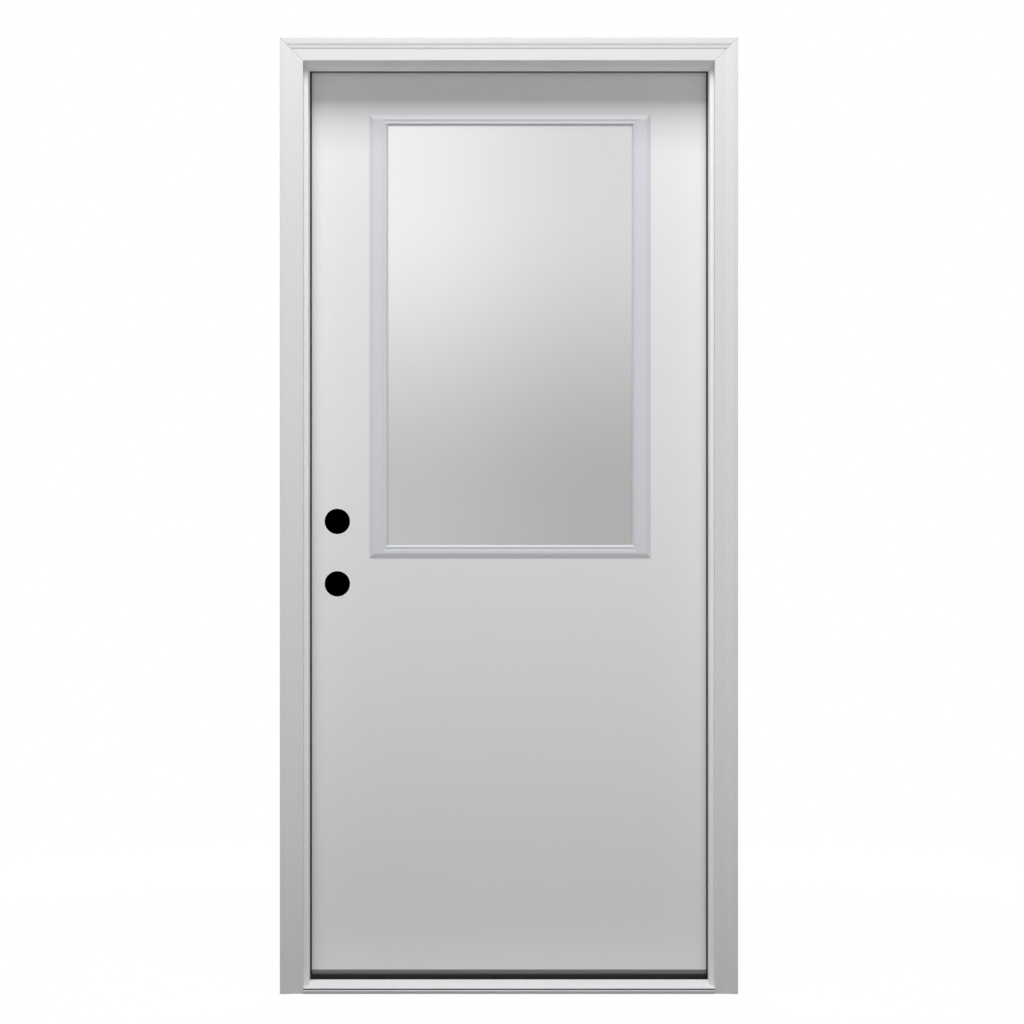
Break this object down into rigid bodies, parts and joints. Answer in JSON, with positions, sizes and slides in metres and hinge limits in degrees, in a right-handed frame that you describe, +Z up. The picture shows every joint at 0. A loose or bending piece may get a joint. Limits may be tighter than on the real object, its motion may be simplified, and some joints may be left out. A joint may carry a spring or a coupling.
{
  "type": "glazed fiberglass entrance door",
  "caption": "White prehung entrance door with a tall glazed lite, open lock bores, rabbeted jamb, brick moulding and an aluminium sill; the door swings in.",
  "frame": {"origin": "middle of the sill's underside, in the plane of the jamb's outside edge and the back of the brick moulding", "axes": "+X to the right seen from outside, +Y into the building, +Z up"},
  "size_m": [1.0096, 0.1628, 2.1082],
  "materials": {
    "jamb_white": "satin white paint over finger-jointed wood",
    "casing_white": "satin white paint",
    "seal_black": "black foam-filled vinyl",
    "sill_composite": "moulded composite",
    "sill_aluminium": "mill finish",
    "cap_bronze": "dark bronze composite",
    "slab_white": "smooth fiberglass, white",
    "stile_wood": "laminated wood",
    "foam": "rigid foam",
    "lite_white": "white moulded polymer",
    "clear_glass": "clear",
    "spacer_grey": "mill finish",
    "tape_white": "white foam tape",
    "sweep_grey": "dark grey vinyl",
    "hinge_steel": "satin nickel"
  },
  "bodies": {
    "frame": {"latch_jamb": "jamb_white", "hinge_jamb": "jamb_white", "head_jamb": "jamb_white", "brickmold_left": "casing_white", "brickmold_right": "casing_white", "brickmold_head": "casing_white", "weatherstrip_hinge": "seal_black", "weatherstrip_latch": "seal_black", "weatherstrip_head": "seal_black", "sill_substrate": "sill_composite", "sill_deck": "sill_aluminium", "sill_nosing": "sill_aluminium", "sill_cap": "cap_bronze", "jamb_leaf_bottom": "hinge_steel", "hinge_pin_bottom": "hinge_steel", "jamb_leaf_middle": "hinge_steel", "hinge_pin_middle": "hinge_steel", "jamb_leaf_top": "hinge_steel", "hinge_pin_top": "hinge_steel"},
    "door": {"exterior_skin": "slab_white", "interior_skin": "slab_white", "hinge_stile": "stile_wood", "lock_stile": "stile_wood", "top_rail": "stile_wood", "bottom_rail": "sill_composite", "lock_block": "stile_wood", "foam_core": "foam", "lite_frame_exterior": "lite_white", "lite_frame_interior": "lite_white", "glass_exterior": "clear_glass", "glass_interior": "clear_glass", "glass_spacer": "spacer_grey", "glazing_tape_exterior": "tape_white", "glazing_tape_interior": "tape_white", "door_sweep": "sweep_grey", "door_leaf_bottom": "hinge_steel", "door_leaf_middle": "hinge_steel", "door_leaf_top": "hinge_steel"}
  },
  "joints": [
    {"name": "door_swing", "type": "hinge", "parent": "frame", "child": "door", "pos_m": [0.45653, 0.1254, 1.071], "axis": [0, 0, -1], "range_deg": [0, 180]}
  ]
}
